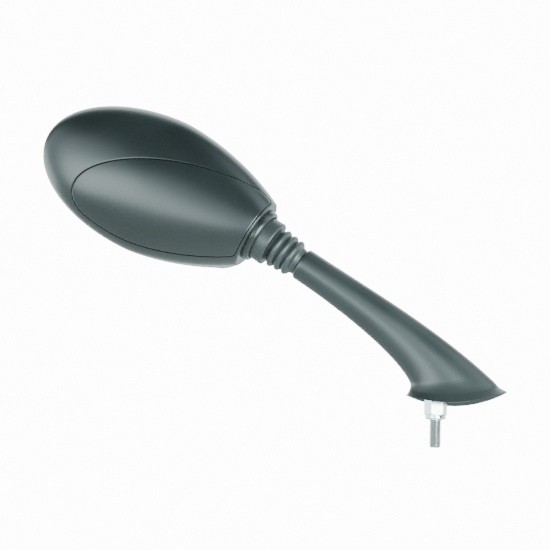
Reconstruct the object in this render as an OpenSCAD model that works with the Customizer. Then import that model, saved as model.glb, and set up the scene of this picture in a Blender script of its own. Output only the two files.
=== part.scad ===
// Oval rear-view mirror for a motorcycle, on a tapering arm with a threaded stud.
// The origin is on the stud's axis, in the face that clamps the bracket. Z points up the stud.
// The head and the arm reach towards -X and +Z. The glass faces +Y and the domed back faces -Y.

/* [Mounting stud] */
// Diameter of the thread
thread_d = 8; // [8:1:10]
// Length of the thread below the clamping face
stud_out = 18.5; // [14:0.5:40]
// Depth of the thread in the foot's insert
stud_in = 14; // [10:1:18]
// Width of the hex across its flats
hex_af = 13; // [13:1:16]
// Height of the hex
hex_h = 15; // [12:0.5:16]
// Thickness of the spring washer
washer_t = 2.6; // [1.6:0.1:3.2]
// Width of the spring washer's ring
washer_w = 2.45; // [2:0.05:3.2]
// Play of the spring washer round the stud
washer_play = 0.15; // [0.1:0.05:0.3]
// Wall of the insert round the stud
insert_wall = 2.6; // [2:0.1:3]

/* [Arm] */
// Radius of the arm just below the boot
arm_r = 11; // [10:0.5:12.5]
// Half width of the arm at its middle, front to back
arm_mid = 11; // [10:0.5:13]
// Half width of the arm above the foot, front to back
waist_half = 15; // [13:0.5:17]
// Position of the waist on the side towards the head, from the stud's axis
waist_left = 16.3; // [14:0.1:19]
// Position of the waist on the far side, from the stud's axis
waist_right = 38; // [34:0.5:42]
// Height of the waist over the bracket face
waist_z = 22; // [20:0.5:24]
// Flare of the foot's skirt on the side towards the head
flare_left = 3.1; // [1:0.1:5]
// Flare of the foot's skirt on the far side
flare_right = 8.6; // [4:0.1:11]
// Flare of the foot's skirt at the front and back
flare_side = 6; // [3:0.5:8]
// Height of the skirt's lowest edge over the bracket face
rim_z = 9.9; // [8:0.1:12]
// Height by which the skirt's edge rises at its two ends
rim_rise = 6.9; // [2:0.1:9]
// Wall of the foot's skirt
skirt_wall = 2.4; // [1.8:0.1:3.2]

/* [Neck and ball] */
// Horizontal position of the ball's centre
ball_x = -129; // [-150:1:-110]
// Height of the ball's centre
ball_z = 126; // [110:1:145]
// Slope of the neck below the horizontal
neck_slope = 32.8; // [26:0.2:40]
// Distance from the ball's centre to the arm
neck_len = 45.2; // [42:0.2:60]
// Radius of the ball
ball_r = 9.5; // [9:0.1:9.8]
// Radius of the rod
rod_r = 5; // [4.4:0.1:5.4]
// Radius of the rod's end inside the ball
spigot_r = 4; // [3.4:0.1:4.2]
// Length of rod held in the arm
rod_in = 34; // [24:1:46]
// Thickness of the liner
liner_t = 2.2; // [1.8:0.1:2.4]
// Half length of the liner
liner_half = 6; // [5:0.1:6.2]
// Thickness of the nut behind the ball
nut_t = 2.8; // [2:0.1:3.2]
// Radial play of the ball on the rod's end
swivel_gap = 0.05; // [0.02:0.01:0.1]
// Play between the liner and what it turns on
liner_gap = 0.2; // [0.1:0.05:0.3]

/* [Socket] */
// Outer radius of the socket
socket_r = 16; // [15.6:0.1:16.2]
// Depth of the socket's seat in the head, from the ball's centre
seat_s = 7; // [6.6:0.1:7.2]
// Gap between the socket and its clamp
clamp_gap = 1; // [0.6:0.1:1.6]
// Distance from the ball's centre to the back of the clamp
clamp_back = 7; // [6.6:0.1:7.6]
// Radius of the circle that the clamp screws are on
screw_circle = 14.1; // [13.9:0.1:14.2]
// Radius of a clamp screw
screw_r = 1.25; // [1:0.05:1.3]
// Height of a disc spring
spring_h = 1; // [0.8:0.1:1.4]

/* [Boot] */
// Outer radius of the boot's smooth cuff
cuff_r = 15.6; // [15:0.1:16]
// Distance from the ball's centre to the end of the cuff
cuff_end = 22.9; // [20:0.1:24]
// Number of ribs
ribs = 3; // [2:1:4]
// Step from the cuff down to the first rib
rib_drop = 1.9; // [1:0.1:2.4]
// Step from the first rib down to the last
rib_taper = 1; // [0:0.1:1.2]
// Depth of the grooves between the ribs
groove = 2.6; // [1:0.1:3]
// Wall of the boot
boot_wall = 1.5; // [1.2:0.1:1.8]
// Play between the boot and the arm's spigot
boot_gap = 0.25; // [0.1:0.05:0.5]

/* [Collar ring] */
// Wall of the ring
ring_wall = 3; // [2.4:0.1:3.2]
// Width of the ring along the neck
ring_w = 4.4; // [3.6:0.1:5]
// Play of the ring round the boot
ring_play = 0.3; // [0.2:0.05:0.5]

/* [Head] */
// Slope of the head's long axis below the horizontal
head_slope = 23.65; // [16:0.05:32]
// Distance from the head's centre to the ball
ball_out = 68; // [60:0.5:76]
// Distance from the ball's centre to the face that the collar ring sits on
face_s = 9.8; // [9.6:0.1:10.4]
// Length of the head from its centre to its tip
head_a = 83.5; // [74:0.5:95]
// Half height of the head
head_b = 47.4; // [43:0.2:56]
// Length from the head's centre to where its sides would meet past the neck
head_n = 102.5; // [99:0.5:110]
// Depth of the dome behind the widest line
dome = 26; // [24.5:0.5:34]
// Depth of the dome at the neck
dome_neck = 23; // [22:0.2:24]
// Rounding at the neck's end, at the widest line
neck_fillet = 3; // [2:0.1:4]
// Rounding at the neck's end, at the rim
front_fillet = 15; // [8:0.5:18]
// Wall of the housing
wall = 2.6; // [2:0.1:2.8]

/* [Back cover] */
// Middle of the seam along the head
seam_x = 27; // [20:0.5:32]
// Middle of the seam across the head
seam_z = -9.5; // [-12:0.5:-4]
// Half length of the seam's oval
seam_a = 76.2; // [64:0.2:80]
// Half height of the seam's oval
seam_b = 30.9; // [24:0.1:34]
// Turn of the seam's oval against the head
seam_turn = 13.1; // [6:0.1:18]
// Strip of housing left outside the seam
seam_edge = 4.4; // [4:0.1:8]
// Thickness of the cover
cover_t = 2.2; // [1.6:0.1:2.6]
// Open gap of the seam
seam_gap = 0.35; // [0.2:0.05:0.6]
// Extra bulge of the cover
cover_bulge = 0.8; // [0:0.1:2]
// Width of the ledge under the cover
ledge_w = 3; // [2:0.1:4]
// Radius of the cover's screw posts
post_r = 3.2; // [2.8:0.1:4]
// Depth of the housing's screw tabs behind the widest line
tab_y = 3.2; // [2.4:0.2:4]
// Thickness of the screw tabs
tab_t = 2.4; // [1.8:0.1:3]

/* [Glass] */
// Radius of the glass's curve
glass_curve = 1200; // [800:50:2400]
// Thickness of the glass
glass_t = 2.2; // [1.8:0.1:3]
// Thickness of the foam pad
pad_t = 1; // [0.8:0.1:2]
// Thickness of the carrier plate
carrier_t = 1.5; // [1.2:0.1:2]
// Depth of the glass's far edge behind the rim
glass_deep = 3.2; // [2.6:0.1:4]
// Clearance between the socket and the plate behind the glass
plate_gap = 0.7; // [0.5:0.1:2]
// Width of the housing's front lip
lip_w = 4.6; // [3.6:0.1:6]
// Width of the ledge that carries the plate
glass_ledge = 2; // [1.5:0.1:3]
// Play round the glass
glass_gap = 0.3; // [0.2:0.05:0.6]
// Thickness of the glue on each side of the pad
bond = 0.1; // [0.05:0.05:0.3]

/* [Hidden] */
$fn = 64;

// Stud stack, upwards from the bracket face.
hex_z0 = washer_t;
hex_z1 = hex_z0 + hex_h;
insert_r = thread_d / 2 + insert_wall;
insert_top = hex_z1 + stud_in + 2;
core_r = thread_d / 2 - 0.7;
washer_in = thread_d / 2 + washer_play;
washer_out = washer_in + washer_w;

// Neck frame: the origin is the ball's centre and +Z runs down the neck to the arm.
neck_dir = [cos(neck_slope), -sin(neck_slope)];
neck_up = [sin(neck_slope), cos(neck_slope)];
function neck_pt(s, r) = [ball_x, ball_z] + s * neck_dir + r * neck_up;
beta = neck_slope - head_slope;
bore_r = spigot_r + swivel_gap;
liner_in = ball_r + liner_gap;
liner_out = liner_in + liner_t;
cavity_r = liner_out + liner_gap;
ball_flat = sqrt(pow(ball_r, 2) - pow(rod_r + 0.2, 2));
shoulder = ball_flat + 0.05;
head_screw = clamp_back + spring_h;
tip_screw = face_s - 0.5;
mouth_r = 12;

module at_neck() {
    translate([ball_x, 0, ball_z])
        rotate([0, 90 + neck_slope, 0])
            children();
}

module at_head() {
    translate([ball_x, 0, ball_z])
        rotate([0, head_slope, 0])
            translate([-ball_out, 0, 0])
                children();
}

// Triangles between two rings of n points that start at a and b.
function band(a, b, n) = [for (i = [0:n - 1])
    each [[a + i, b + i, b + (i + 1) % n], [a + i, b + (i + 1) % n, a + (i + 1) % n]]];
// Closed skin over a stack of rings, with a fan at each end.
function capped(rings, n, first, last) = let (m = len(rings)) [
    [for (r = rings) each r, first, last],
    concat([for (k = [0:m - 2]) each band(k * n, (k + 1) * n, n)],
        [for (i = [0:n - 1]) [m * n, i, (i + 1) % n]],
        [for (i = [0:n - 1]) [m * n + 1, (m - 1) * n + (i + 1) % n, (m - 1) * n + i]])];
// Closed skin over a stack of rings whose last ring joins the first again.
function looped(rings, n) = let (m = len(rings)) [
    [for (r = rings) each r],
    [for (k = [0:m - 1]) each band(k * n, ((k + 1) % m) * n, n)]];

// Arm: sections between a top line and a bottom line, each a cubic curve.
function bez(p, q, r, s, t) = pow(1 - t, 3) * p + 3 * t * pow(1 - t, 2) * q
    + 3 * pow(t, 2) * (1 - t) * r + pow(t, 3) * s;
arm_n = 40;
arm_s = neck_len + 2.8;
top0 = neck_pt(arm_s, arm_r);
low0 = neck_pt(arm_s, -arm_r);
top3 = [waist_right, waist_z + 2.8];
low3 = [-waist_left, waist_z];
top1 = top0 + 46 * neck_dir;
low1 = low0 + 31 * neck_dir;
top2 = top3 + [-38, 35];
low2 = low3 + [-9, 20];
function arm_top(t) = bez(top0, top1, top2, top3, t);
function arm_low(t) = bez(low0, low1, low2, low3, t);
function arm_half(t) = bez(arm_r, arm_mid - 0.6, arm_mid, waist_half, t);
function arm_sag(t) = t < 0.55 ? 0 : 1.6 * pow((t - 0.55) / 0.45, 2);
function ring_at(a, b, half, sag) = [for (i = [0:arm_n - 1])
    let (f = 360 * i / arm_n, c = cos(f), m = (a + b) / 2 + (a - b) / 2 * c)
        [m[0], -half * sin(f), m[1] - sag * (1 - c * c)]];
rim_top = [waist_right + flare_right, rim_z + rim_rise + 1.8];
rim_low = [-waist_left - flare_left, rim_z + rim_rise - 1.8];
function skirt(f, inset) = let (g = pow(f, 1.7))
    ring_at([top3[0] + (rim_top[0] - top3[0]) * g - inset, top3[1] + (rim_top[1] - top3[1]) * f],
        [low3[0] + (rim_low[0] - low3[0]) * g + inset, low3[1] + (rim_low[1] - low3[1]) * f],
        waist_half + flare_side * g - inset, 1.6 + (rim_rise - 1.6) * f);
recess_z = waist_z - 2;
function recess(f) = let (kx = 1 - 0.12 * f, ky = 1 - 0.36 * pow(f, 0.8), r = skirt(1, skirt_wall))
    [for (p = r) [p[0] * kx + f, p[1] * ky, p[2] + (recess_z - p[2]) * f]];

module arm_body() {
    steps = 22;
    end_rings = [for (e = [[0, -1.6], [0.35, -0.7], [1.3, -0.15]])
        let (a = neck_pt(neck_len + e[0], arm_r + e[1]), b = neck_pt(neck_len + e[0], -arm_r - e[1]))
            ring_at(a, b, arm_r + e[1], 0)];
    rings = concat(end_rings,
        [for (k = [0:steps]) let (t = k / steps) ring_at(arm_top(t), arm_low(t), arm_half(t), arm_sag(t))],
        [for (f = [0.3, 0.55, 0.75, 0.9, 1]) skirt(f, 0)],
        [skirt(1, skirt_wall)],
        [for (f = [0.35, 0.7, 1]) recess(f)]);
    first = neck_pt(neck_len, 0);
    top = recess(1);
    skin = capped(rings, arm_n, [first[0], 0, first[1]],
        [(top[0][0] + top[arm_n / 2][0]) / 2, 0, recess_z]);
    polyhedron(skin[0], skin[1], convexity = 6);
}

module arm() {
    color([0.11, 0.13, 0.13])
        difference() {
            union() {
                arm_body();
                // Boss round the insert, in the roof of the hollow foot.
                translate([0, 0, hex_z1 + 0.6])
                    cylinder(r = insert_r + 1.6, h = recess_z + 3 - hex_z1);
                // Spigot that the boot slips over.
                at_neck()
                    translate([0, 0, neck_len - 5])
                        cylinder(r = rod_r + 2.2, h = 8);
            }
            translate([0, 0, hex_z1])
                cylinder(r = insert_r, h = insert_top - hex_z1);
            at_neck()
                translate([0, 0, neck_len - 6])
                    cylinder(r = rod_r, h = rod_in + 6);
        }
}

module foot_insert() {
    color([0.75, 0.62, 0.35])
        difference() {
            translate([0, 0, hex_z1])
                cylinder(r = insert_r, h = insert_top - hex_z1);
            translate([0, 0, hex_z1 - 1])
                cylinder(r = thread_d / 2, h = stud_in + 2);
        }
}

module mount_stud() {
    color([0.8, 0.81, 0.83]) {
        // Thread below, with a rounded end and an undercut inside the washer.
        rotate_extrude()
            polygon([[0, -stud_out], [thread_d / 2 - 1.2, -stud_out], [thread_d / 2, -stud_out + 1.2],
                [thread_d / 2, -0.1], [core_r, 0.6], [core_r, hex_z0 + 0.5], [0, hex_z0 + 0.5]]);
        // Hex with its corners turned off at both ends.
        intersection() {
            translate([0, 0, hex_z0])
                rotate([0, 0, 12])
                    cylinder(d = hex_af / cos(30), h = hex_h, $fn = 6);
            rotate_extrude()
                polygon([[0, hex_z0], [hex_af / 2 + 0.35, hex_z0], [hex_af / 2 + 1.1, hex_z0 + 0.45],
                    [hex_af / 2 + 2.2, hex_z0 + 0.9], [hex_af / 2 + 2.2, hex_z1 - 0.9],
                    [hex_af / 2 + 1.1, hex_z1 - 0.45], [hex_af / 2 - 0.1, hex_z1], [0, hex_z1]]);
        }
        // Upper thread in the insert.
        translate([0, 0, hex_z1 - 0.5])
            cylinder(d = thread_d, h = stud_in);
    }
}

module spring_washer() {
    color([0.7, 0.71, 0.73])
        difference() {
            rotate_extrude()
                polygon([[washer_in, 0], [washer_out - 0.3, 0], [washer_out, 0.3],
                    [washer_out, washer_t - 0.3], [washer_out - 0.3, washer_t], [washer_in, washer_t]]);
            // Slanting split.
            rotate([0, 0, -60])
                translate([washer_out, 0, washer_t / 2])
                    rotate([32, 0, 0])
                        cube([2 * washer_out, 0.9, 3 * washer_t], center = true);
        }
}

module neck_rod() {
    color([0.62, 0.63, 0.65])
        at_neck()
            rotate_extrude()
                polygon([[0, -shoulder - nut_t - 0.6], [spigot_r - 0.5, -shoulder - nut_t - 0.6],
                    [spigot_r, -shoulder - nut_t - 0.1], [spigot_r, shoulder], [rod_r, shoulder],
                    [rod_r, neck_len - 6 + rod_in], [0, neck_len - 6 + rod_in]]);
}

module pivot_ball() {
    color([0.72, 0.73, 0.75])
        at_neck()
            difference() {
                intersection() {
                    sphere(r = ball_r);
                    cylinder(r = ball_r + 1, h = 2 * ball_flat, center = true);
                }
                cylinder(r = bore_r, h = 4 * ball_r, center = true);
            }
}

module ball_nut() {
    color([0.66, 0.67, 0.69])
        at_neck()
            translate([0, 0, -shoulder - nut_t])
                difference() {
                    cylinder(r = rod_r + 1, h = nut_t, $fn = 6);
                    translate([0, 0, -1])
                        cylinder(r = spigot_r, h = nut_t + 2, $fn = 64);
                }
}

module cup_liner() {
    color([0.9, 0.9, 0.86])
        at_neck()
            difference() {
                intersection() {
                    sphere(r = liner_out);
                    cylinder(r = liner_out + 1, h = 2 * liner_half, center = true);
                }
                sphere(r = liner_in);
            }
}

module screw_ring(k) {
    rotate([0, 0, 60 + 120 * k])
        translate([screw_circle, 0, 0])
            children();
}

module ball_socket() {
    color([0.3, 0.31, 0.33])
        at_neck()
            difference() {
                translate([0, 0, clamp_gap / 2])
                    cylinder(r = socket_r, h = seat_s - clamp_gap / 2);
                sphere(r = cavity_r);
                for (k = [0:2])
                    screw_ring(k)
                        translate([0, 0, -1])
                            cylinder(r = screw_r + 0.1, h = seat_s + 2);
            }
}

module socket_clamp() {
    color([0.36, 0.37, 0.39])
        at_neck()
            difference() {
                translate([0, 0, -clamp_back])
                    cylinder(r = socket_r, h = clamp_back - clamp_gap / 2);
                sphere(r = cavity_r);
                for (k = [0:2])
                    screw_ring(k)
                        translate([0, 0, -clamp_back - 1])
                            cylinder(r = screw_r + 0.1, h = clamp_back + 1);
            }
}

module clamp_screw(k) {
    color([0.7, 0.71, 0.73])
        at_neck()
            screw_ring(k)
                difference() {
                    rotate_extrude()
                        polygon([[0, -head_screw - 2], [2, -head_screw - 2], [2.3, -head_screw - 1.6],
                            [2.3, -head_screw], [screw_r, -head_screw], [screw_r, tip_screw - 0.4],
                            [screw_r - 0.4, tip_screw], [0, tip_screw]]);
                    translate([0, 0, -head_screw - 3])
                        cylinder(r = 1.15, h = 2.2, $fn = 6);
                }
}

module disc_spring(k) {
    color([0.6, 0.61, 0.63])
        at_neck()
            screw_ring(k)
                rotate_extrude()
                    polygon([[screw_r + 0.15, -head_screw], [screw_r + 0.15, -head_screw + 0.45],
                        [2.4, -clamp_back], [2.4, -clamp_back - 0.45]]);
}

// Boot: a bead held by the collar ring, a smooth cuff, ribs and a small end over the arm's spigot.
ring_bore = cuff_r + ring_play;
ring_r = ring_bore + ring_wall;
rib_r = cuff_r - rib_drop;
rib_last_r = rib_r - rib_taper;
boot_hold = face_s + 2.4;
boot_end = neck_len - 0.2;
boot_in = rod_r + 2.2 + boot_gap;
rib_from = cuff_end + 2;
rib_step = (boot_end - 3.6 - rib_from) / ribs;
rib_n = 8;
function rib_peak(k) = rib_r + (rib_last_r - rib_r) * k / max(1, ribs - 1);
function rib_line(k, off) = [for (i = [0:rib_n])
    let (f = i / rib_n, lift = pow(abs(sin(180 * f)), 0.8))
        [rib_peak(k) - groove * (1 - lift) - off, rib_from + rib_step * (k + f)]];
function rib_all(off) = [for (k = [0:ribs - 1]) for (i = [(k == 0 ? 0 : 1):rib_n]) rib_line(k, off)[i]];
outer_line = concat([[ring_bore - 0.15, face_s + 0.1], [ring_bore + 0.55, face_s + 0.1],
    [ring_bore + 0.55, boot_hold], [cuff_r - 0.25, boot_hold], [cuff_r - 0.1, (boot_hold + cuff_end) / 2],
    [cuff_r, cuff_end - 0.9], [cuff_r - 0.35, cuff_end - 0.2], [cuff_r - 1.2, cuff_end + 0.1],
    [rib_r - groove - 0.4, rib_from - 0.8]],
    rib_all(0),
    [[boot_in + boot_wall + 0.5, boot_end - 2.6], [boot_in + boot_wall, boot_end]]);
inner_line = concat([[boot_in, boot_end], [boot_in, boot_end - 4]],
    [for (i = [len(rib_all(0)) - 4:-1:2]) rib_all(boot_wall)[i]],
    [[rib_r - groove - boot_wall, rib_from], [cuff_r - boot_wall - 1, cuff_end - 1.4],
    [cuff_r - boot_wall - 0.2, cuff_end - 3], [cuff_r - boot_wall - 0.4, face_s + 0.1]]);

module bellows() {
    color([0.09, 0.1, 0.1])
        at_neck()
            rotate_extrude()
                polygon(concat(outer_line, inner_line));
}

module collar_ring() {
    color([0.13, 0.15, 0.15])
        at_neck()
            rotate_extrude()
                polygon([[ring_bore + 0.6, face_s], [ring_r, face_s], [ring_r - 0.1, face_s + ring_w * 0.5],
                    [ring_r - 0.5, face_s + ring_w * 0.8], [ring_r - 1.2, face_s + ring_w],
                    [ring_bore + 0.4, face_s + ring_w], [ring_bore, face_s + ring_w - 0.4],
                    [ring_bore, boot_hold + 0.05], [ring_bore + 0.6, boot_hold + 0.05]]);
}

// Glass stack. The plate, the pad and the glass are shells round one centre of curvature.
glass_y = socket_r + plate_gap;
glass_back = glass_y + carrier_t + pad_t;
rim_y = glass_back + glass_t + glass_deep;
edge_far = head_a - lip_w;
function curve_mid(y) = y - sqrt(pow(glass_curve, 2) - pow(edge_far, 2));
function plate_back(r) = curve_mid(glass_y) + sqrt(pow(glass_curve, 2) - pow(r, 2));

// Head outline. u is the distance behind the neck's end face.
tb = sin(beta);
cb = cos(beta);
function end_u(x, z) = face_s - (x - ball_out) * cb + z * tb;
function end_x(z) = ball_out + (face_s + z * tb) / cb;
function side0(x) = x < 0 ? head_b * sqrt(max(0, 1 - pow(x / head_a, 2)))
    : head_b * pow(max(0, 1 - pow(x / head_n, 1.6)), 2 / 3);
function fall(u, r) = u >= r ? 0 : r * (1 - sqrt(max(0, 1 - pow((r - max(u, 0)) / r, 2))));
function corner(z, sgn, r, n) = n == 0 ? z : corner(sgn * (side0(end_x(z)) - r), sgn, r, n - 1);
face_n = 14;
side_n = 16;
tip_n = 30;
head_n_pts = face_n + 2 * side_n + tip_n;
function side_pt(j, sgn, ze, r) = let (xe = end_x(ze),
    x = xe * (1 - pow(j / side_n, 1.8)), w = side0(x)) [x, sgn * (w - fall(end_u(x, sgn * w), r))];
function outline_with(r) = let (z1 = corner(20, 1, r, 6), z0 = corner(-20, -1, r, 6))
    [for (i = [0:head_n_pts - 1]) i < face_n
        ? let (z = (z1 + z0) / 2 + (z1 - z0) / 2 * sin(-90 + 180 * i / face_n)) [end_x(z), z]
        : i < face_n + side_n ? side_pt(i - face_n, 1, z1, r)
        : i < face_n + side_n + tip_n
            ? let (f = 90 + 180 * (i - face_n - side_n) / tip_n) [head_a * cos(f), head_b * sin(f)]
        : side_pt(head_n_pts - i, -1, z0, r)];
outline = outline_with(neck_fillet);
front = outline_with(front_fillet);
// A point of the outline q, drawn in by e along its own ray.
function inset(q, i, e) = let (p = q[i], r = norm(p),
    d = q[(i + 1) % head_n_pts] - q[(i + head_n_pts - 1) % head_n_pts],
    k = max(0.55, abs(p * [d[1], -d[0]]) / norm(d) / r)) p * (1 - e / k / r);

// Depth of the dome at a point, for a skin that lies t inside the outer one.
function side_w(x, t) = x < 0 ? (head_b - t) * sqrt(max(0.0001, 1 - pow(x / (head_a - t), 2)))
    : side0(x) - t * (1 + 0.15 * min(1, x / 60));
function dome_d(x, t) = x < 0 ? (dome - t) * sqrt(max(0.0001, 1 - pow(x / (head_a - t), 2)))
    : dome - t - (dome - dome_neck) * pow(x / (ball_out + face_s), 2);
function depth(x, z, t) = let (k = fall(end_u(x, z), neck_fillet))
    (dome_d(x, t) - k) * sqrt(max(0, 1 - pow(z / (side_w(x, t) - k), 2)));

// Seam of the back cover: an oval cut off short of the neck's end and of the edge.
strip = neck_fillet + 0.2;
function seam_ray(q) = let (c = [seam_x, seam_z], d = (q - c) / norm(q - c),
    f = atan2(d[1], d[0]) - seam_turn,
    oval = 1 / sqrt(pow(cos(f) / seam_a, 2) + pow(sin(f) / seam_b, 2)),
    toward = d[0] * cb - d[1] * tb,
    face = toward > 0.01 ? (end_u(seam_x, seam_z) - strip) / toward : 1000)
    c + d * min(oval, face, norm(q - c) - seam_edge);
seam = [for (q = outline) seam_ray(q)];
function toward_seam_mid(p, e) = let (c = [seam_x, seam_z], d = p - c) c + d * (1 - e / norm(d));

ledge_t = cover_t + 0.25;
ledge_low = ledge_t + 1.9;
// In front of the widest line the outline turns into the rounder one of the rim.
function rim_line(y) = let (k = pow(min(1, y / (rim_y - 4)), 2.2)) outline + (front - outline) * k;
function plan_ring(e, y) = let (q = rim_line(y))
    [for (i = [0:head_n_pts - 1]) let (p = inset(q, i, e)) [p[0], y, p[1]]];
// The same, but flat across the neck's end where the collar ring sits.
function flat_ring(e, y) = let (q = rim_line(y)) [for (i = [0:head_n_pts - 1])
    let (p = inset(q, i, e * min(1, max(0, end_u(q[i][0], q[i][1])) / 14))) [p[0], y, p[1]]];
function pocket_ring(e, y) = [for (i = [0:head_n_pts - 1]) let (p = inset(front, i, e)) [p[0], y, p[1]]];
// The ledge that carries the plate follows the plate's curve.
function rest_ring(e, low) = [for (i = [0:head_n_pts - 1])
    let (p = inset(front, i, e)) [p[0], plate_back(norm(p)) - 0.25 - low, p[1]]];
function skin_ring(q, t) = [for (i = [0:head_n_pts - 1])
    let (p = seam[i] + (inset(outline, i, t) - seam[i]) * q) [p[0], -depth(p[0], p[1], t), p[1]]];
function seam_ring(e, t) = [for (i = [0:head_n_pts - 1])
    let (p = toward_seam_mid(seam[i], e)) [p[0], -depth(p[0], p[1], t), p[1]]];

module housing_shell() {
    rings = concat([for (q = [0, 0.22, 0.45, 0.66, 0.82, 0.93, 1]) skin_ring(q, 0)],
        [flat_ring(0.05, 5), flat_ring(0.5, 12), flat_ring(1.2, rim_y - 4.5), plan_ring(1.9, rim_y - 1.8),
        plan_ring(2.7, rim_y - 0.5), plan_ring(3.5, rim_y), pocket_ring(lip_w - 0.3, rim_y),
        pocket_ring(lip_w, rim_y - 0.4), rest_ring(lip_w, 0), rest_ring(lip_w + glass_ledge, 0),
        rest_ring(lip_w + glass_ledge, 1.6), plan_ring(wall + 1.2, glass_y - 4), plan_ring(wall + 0.3, 4)],
        [for (q = [0.995, 0.85, 0.6, 0.3]) skin_ring(q, wall)],
        [seam_ring(0.4, ledge_low), seam_ring(ledge_w, ledge_low), seam_ring(ledge_w, ledge_t),
        seam_ring(0, ledge_t)]);
    skin = looped([for (k = [len(rings) - 1:-1:0]) rings[k]], head_n_pts);
    polyhedron(skin[0], skin[1], convexity = 8);
}

// Each screw holds a post of the cover against a tab that grows from the housing's wall.
post_at = [[-24, -26], [50, 9]];
tab_half = post_r + 1.4;
function wall_z(x) = side_w(x, wall / 2) * sqrt(1 - pow(tab_y / dome_d(x, wall / 2), 2));

module screw_tab(p) {
    side = sign(p[1]);
    translate([0, -tab_y + tab_t / 2, 0])
        rotate([90, 0, 0])
            linear_extrude(tab_t)
                difference() {
                    union() {
                        polygon(concat([[p[0] - tab_half, p[1]], [p[0] + tab_half, p[1]]],
                            [for (f = [1, 0.5, 0, -0.5, -1]) let (x = p[0] + f * tab_half)
                                [x, side * wall_z(x)]]));
                        translate(p)
                            circle(r = tab_half);
                    }
                    translate(p)
                        circle(r = screw_r + 0.15);
                }
}

module housing() {
    color([0.12, 0.14, 0.14])
        difference() {
            union() {
                housing_shell();
                for (p = post_at)
                    screw_tab(p);
            }
            at_face()
                cylinder(r = mouth_r, h = face_s + 1);
            at_face()
                translate([0, 0, -4])
                    cylinder(r = socket_r + 0.2, h = seat_s + 4);
            at_face()
                for (k = [0:2])
                    screw_ring(k)
                        cylinder(r = screw_r, h = tip_screw);
        }
}

// Neck frame seen from the head's own frame.
module at_face() {
    translate([ball_out, 0, 0])
        rotate([0, 90 + beta, 0])
            children();
}

module back_cover() {
    n = head_n_pts;
    top = [for (g = [0, 0.02, 0.09, 0.2, 0.34, 0.5, 0.66, 0.82, 0.93])
        [for (i = [0:n - 1])
            let (p = toward_seam_mid(seam[i], seam_gap), c = [seam_x, seam_z], q = p + (c - p) * g,
                b = cover_bulge * (1 - pow(1 - g, 6)) - (g == 0 ? 0.25 : 0))
                [q[0], -depth(q[0], q[1], 0) - b, q[1]]]];
    low = concat([for (g = [0.93, 0.6, 0.32, 0.16])
        [for (i = [0:n - 1])
            let (p = toward_seam_mid(seam[i], seam_gap), c = [seam_x, seam_z], q = p + (c - p) * g)
                [q[0], -depth(q[0], q[1], cover_t), q[1]]]],
        [seam_ring(ledge_w + 0.5, cover_t), seam_ring(seam_gap, cover_t)]);
    d = depth(seam_x, seam_z, 0);
    skin = capped(concat(low, top), n,
        [seam_x, -depth(seam_x, seam_z, cover_t), seam_z],
        [seam_x, -d - cover_bulge, seam_z]);
    color([0.14, 0.16, 0.16])
        union() {
            polyhedron(skin[0], skin[1], convexity = 6);
            for (p = post_at)
                cover_post(p);
        }
}

screw_in = 7;

module cover_post(p) {
    foot = depth(p[0], p[1], cover_t) + 0.8;
    post_h = foot - tab_y - tab_t / 2 - 0.05;
    translate([p[0], -foot, p[1]])
        rotate([-90, 0, 0])
            difference() {
                cylinder(r = post_r, h = post_h);
                translate([0, 0, post_h - screw_in])
                    cylinder(r = screw_r, h = screw_in + 1);
            }
}

module cover_screw(p) {
    color([0.7, 0.71, 0.73])
        translate([p[0], -tab_y + tab_t / 2, p[1]])
            rotate([-90, 0, 0])
                difference() {
                    union() {
                        translate([0, 0, -tab_t - screw_in + 0.5])
                            cylinder(r = screw_r, h = tab_t + screw_in);
                        cylinder(r = 2.6, h = 1.6);
                    }
                    translate([0, 0, 0.7])
                        cylinder(r = 1.15, h = 1.5, $fn = 6);
                }
}

module plan_block(e, y0, y1) {
    translate([0, y1, 0])
        rotate([90, 0, 0])
            linear_extrude(y1 - y0)
                polygon([for (i = [0:head_n_pts - 1]) inset(front, i, e)]);
}

module curved(e, y0, y1) {
    intersection() {
        plan_block(e, y0 - 6, y1 + 8);
        difference() {
            translate([0, curve_mid(y1), 0])
                rotate([90, 0, 0])
                    sphere(r = glass_curve, $fn = 180);
            translate([0, curve_mid(y0), 0])
                rotate([90, 0, 0])
                    sphere(r = glass_curve, $fn = 180);
        }
    }
}

module mirror_glass() {
    color([0.75, 0.8, 0.84])
        at_head()
            curved(lip_w + glass_gap, glass_back, glass_back + glass_t);
}

module glass_pad() {
    color([0.2, 0.2, 0.2])
        at_head()
            curved(lip_w + glass_gap + 2, glass_y + carrier_t + bond, glass_back - bond);
}

module glass_carrier() {
    color([0.24, 0.25, 0.26])
        at_head()
            curved(lip_w + glass_gap, glass_y, glass_y + carrier_t);
}

arm();
foot_insert();
mount_stud();
spring_washer();
neck_rod();
pivot_ball();
ball_nut();
cup_liner();
ball_socket();
socket_clamp();
clamp_screw(0);  // clamp_screw_1
clamp_screw(1);  // clamp_screw_2
clamp_screw(2);  // clamp_screw_3
disc_spring(0);  // disc_spring_1
disc_spring(1);  // disc_spring_2
disc_spring(2);  // disc_spring_3
bellows();
collar_ring();
at_head() housing();
at_head() back_cover();
at_head() cover_screw(post_at[0]);  // cover_screw_1
at_head() cover_screw(post_at[1]);  // cover_screw_2
glass_carrier();
glass_pad();
mirror_glass();
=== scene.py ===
"""Looks of an oval motorcycle mirror on a tapering arm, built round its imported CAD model.

Lengths are in millimetres and become metres where a mesh is made. Every skin is a stack of rings:
an array (rings, points round, 3) worked out at once, so a finish or a rounding is one line on it.
"""

import bpy
import numpy as np
from mathutils import Matrix, Vector


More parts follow.
